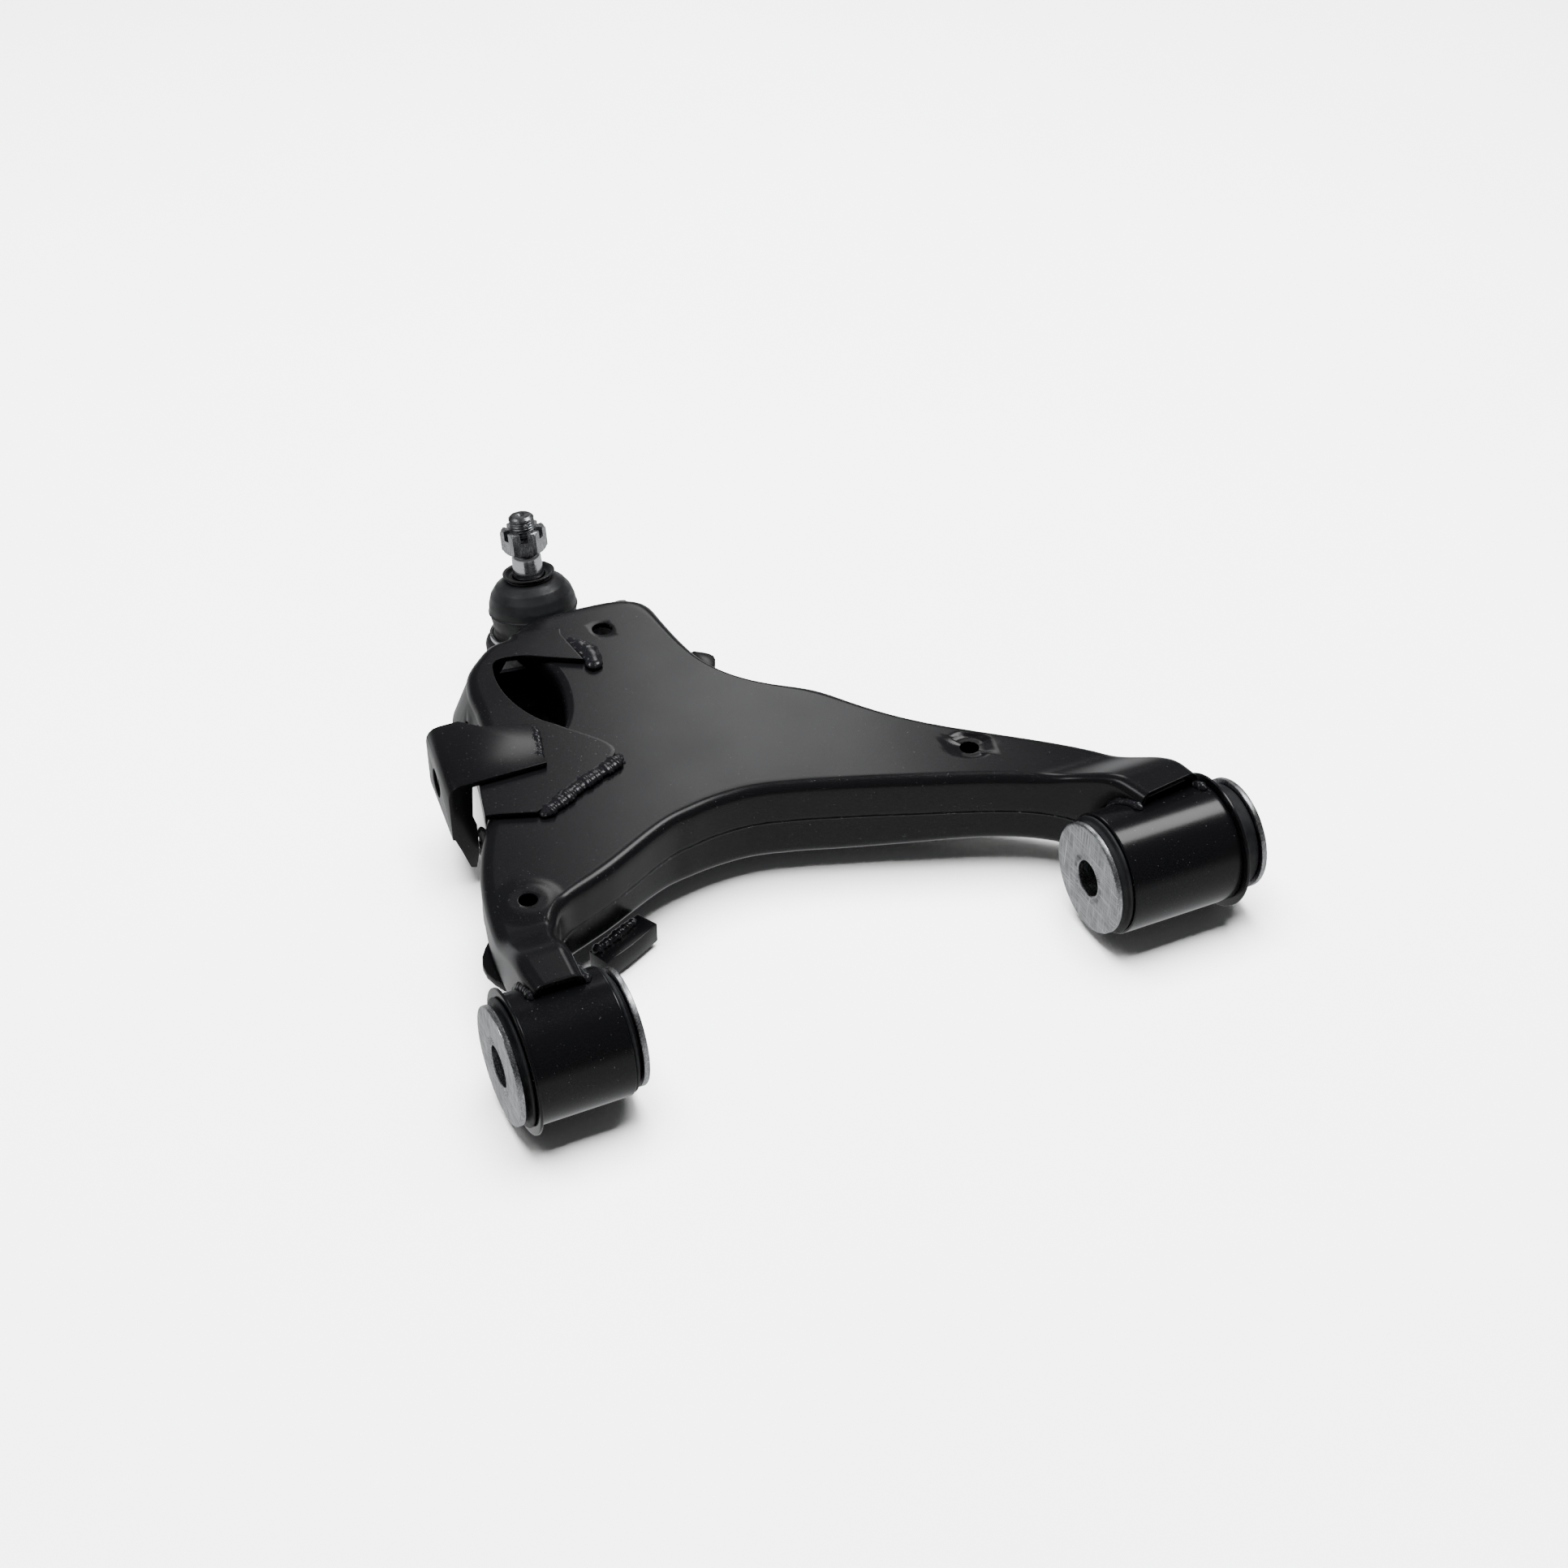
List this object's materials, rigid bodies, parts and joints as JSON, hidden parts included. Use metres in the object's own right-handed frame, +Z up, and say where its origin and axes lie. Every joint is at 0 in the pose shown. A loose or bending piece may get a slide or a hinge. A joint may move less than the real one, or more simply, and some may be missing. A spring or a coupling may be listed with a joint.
{
  "type": "front lower control arm",
  "caption": "Welded pressed-steel lower control arm with two bonded rubber bushes, a strut pocket, a stabilizer bracket and a booted ball joint.",
  "frame": {"origin": "middle of the bounding box in plan, on the plane that the arm rests on", "axes": "+X along the bush pivot line from the front bush to the rear bush, +Y outboard to the ball joint, +Z up"},
  "size_m": [0.3904, 0.3814, 0.1001],
  "materials": {
    "black_coated_steel": "semi-gloss black electrocoat over pressed steel",
    "zinc_plated_steel": "zinc plated, lightly scratched",
    "bright_steel": "machined bright steel",
    "forged_steel": "forged steel, dark coating",
    "rubber": "satin moulded rubber",
    "seat_plastic": "low-friction bearing shell"
  },
  "bodies": {
    "arm": {"upper_shell": "black_coated_steel", "lower_shell": "black_coated_steel", "strut_reinforcement": "black_coated_steel", "strut_pocket_web": "black_coated_steel", "strut_weld_nut": "forged_steel", "stabilizer_bracket": "black_coated_steel", "gusset_plate": "black_coated_steel", "side_lug": "black_coated_steel", "stop_lug": "black_coated_steel", "rear_lug": "black_coated_steel", "front_bush_tube": "black_coated_steel", "front_bush_can": "black_coated_steel", "front_bush_rubber": "rubber", "rear_bush_tube": "black_coated_steel", "rear_bush_can": "black_coated_steel", "rear_bush_rubber": "rubber", "ball_joint_housing": "forged_steel", "ball_seat": "seat_plastic", "housing_cover": "forged_steel", "boot_clip": "bright_steel", "boot_skirt": "rubber"},
    "front_bush_core": {"front_bush_sleeve": "zinc_plated_steel", "front_bush_front_disc": "zinc_plated_steel", "front_bush_rear_disc": "zinc_plated_steel"},
    "rear_bush_core": {"rear_bush_sleeve": "zinc_plated_steel", "rear_bush_front_disc": "zinc_plated_steel", "rear_bush_rear_disc": "zinc_plated_steel"},
    "boot_tilt": {"boot_dome": "rubber"},
    "boot_swing": {"boot_lip": "rubber"},
    "stud": {"ball_stud": "bright_steel", "castle_nut": "zinc_plated_steel"}
  },
  "joints": [
    {"name": "front_bush_twist", "type": "hinge", "parent": "arm", "child": "front_bush_core", "pos_m": [-0.16405, -0.15623, 0.0345], "axis": [1, 0, 0], "range_deg": [-20, 20], "stiffness_Nm_per_rad": 60},
    {"name": "rear_bush_twist", "type": "hinge", "parent": "arm", "child": "rear_bush_core", "pos_m": [0.1524, -0.15623, 0.0345], "axis": [1, 0, 0], "range_deg": [-20, 20], "stiffness_Nm_per_rad": 80},
    {"name": "ball_tilt", "type": "hinge", "parent": "arm", "child": "boot_tilt", "pos_m": [-0.0582, 0.16087, 0.0199], "axis": [1, 0, 0], "range_deg": [-16, 16], "deforming": ["boot_skirt", "boot_dome"]},
    {"name": "ball_swing", "type": "hinge", "parent": "boot_tilt", "child": "boot_swing", "pos_m": [-0.0582, 0.16087, 0.0199], "axis": [0, 0.9848, -0.1736], "range_deg": [-16, 16], "deforming": ["boot_lip"]},
    {"name": "stud_spin", "type": "hinge", "parent": "boot_swing", "child": "stud", "pos_m": [-0.0582, 0.16087, 0.0199], "axis": [0, 0.1736, 0.9848], "continuous": true}
  ]
}
